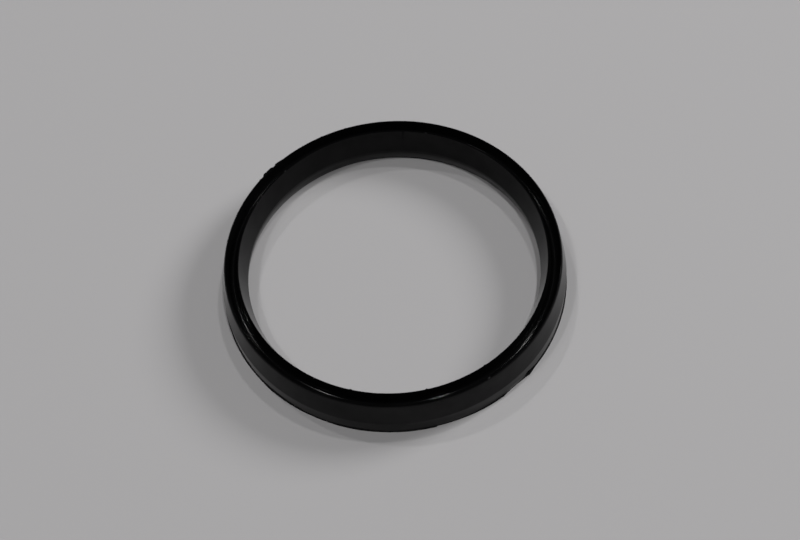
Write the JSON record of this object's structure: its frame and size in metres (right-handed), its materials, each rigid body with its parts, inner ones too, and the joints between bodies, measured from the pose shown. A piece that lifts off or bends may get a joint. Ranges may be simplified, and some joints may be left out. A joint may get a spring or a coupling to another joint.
{
  "type": "steering head bearing seal",
  "caption": "Moulded black rubber dust seal ring with an inner and an outer lip, a groove between them, a narrow throat and a flat foot, for a steering head bearing.",
  "frame": {"origin": "on the ring's axis, in the plane of the resting face under the foot", "axes": "+Z along the ring's axis, from the resting face towards the lips; +X and +Y across the ring, with the torn stretch of flash in the +X, -Y quarter"},
  "size_m": [0.0552, 0.0552, 0.0068],
  "materials": {
    "rubber": "satin moulded black nitrile rubber"
  },
  "bodies": {
    "root": {"seal_ring": "rubber"}
  },
  "joints": []
}
